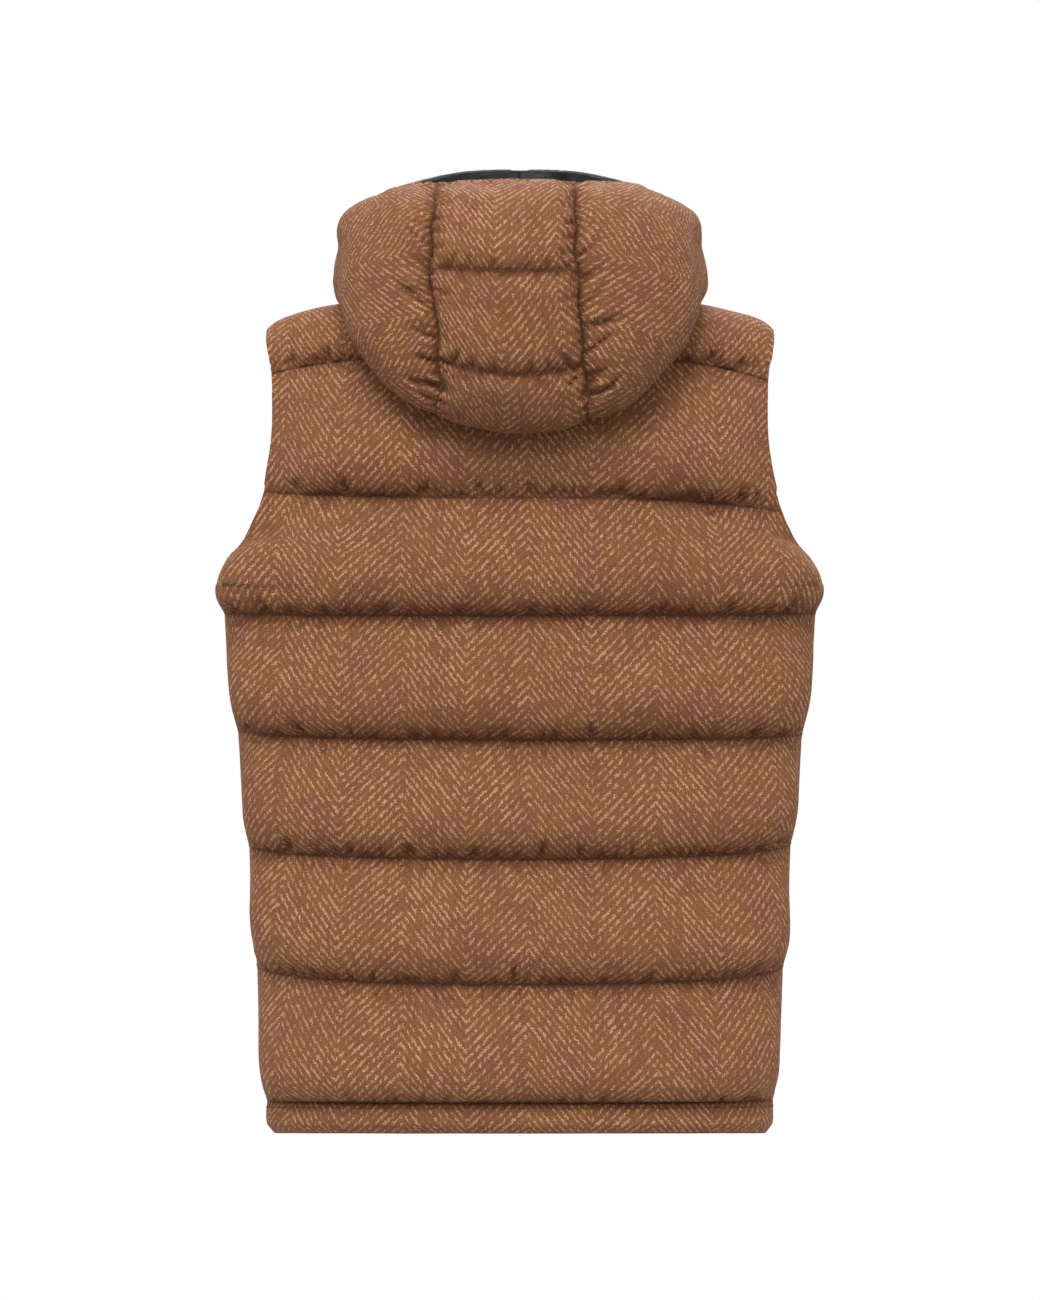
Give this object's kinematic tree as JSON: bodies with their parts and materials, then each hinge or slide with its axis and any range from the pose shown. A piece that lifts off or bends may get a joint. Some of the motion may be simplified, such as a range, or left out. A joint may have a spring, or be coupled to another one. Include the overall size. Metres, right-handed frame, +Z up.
{
  "type": "hooded quilted gilet",
  "caption": "Sleeveless padded body warmer with horizontal quilted channels, a zipped front, a stand collar and a pouch hood lying at the back of the neck.",
  "frame": {"origin": "the middle of the neck base, level with the neck ends of the shoulder seams, where the wearer carries the gilet", "axes": "+Z up; the front with the zip faces -Y and the back faces +Y; the wearer's left is +X"},
  "size_m": [0.5067, 0.3304, 0.8088],
  "materials": {
    "printed_cloth": "brown and tan herringbone print on smooth matte cloth",
    "lining": "smooth black lining with a slight sheen",
    "zip_tape": "woven black tape",
    "zip_teeth": "black moulded teeth",
    "zip_metal": "dark gunmetal"
  },
  "bodies": {
    "gilet": {"back": "printed_cloth", "front_left": "printed_cloth", "front_right": "printed_cloth", "hem_band_back": "printed_cloth", "hem_band_front_left": "printed_cloth", "hem_band_front_right": "printed_cloth", "hood_middle": "printed_cloth", "hood_left": "printed_cloth", "hood_right": "printed_cloth", "hood_lining": "lining", "zip_tape_left": "zip_tape", "zip_tape_right": "zip_tape", "zip_chain": "zip_teeth", "zip_slider": "zip_metal"},
    "pull": {"zip_pull": "zip_metal"}
  },
  "joints": [
    {"name": "pull_swing", "type": "hinge", "parent": "gilet", "child": "pull", "pos_m": [0, -0.09278, 0.10759], "axis": [1, 0, 0], "range_deg": [-150, 0]}
  ]
}
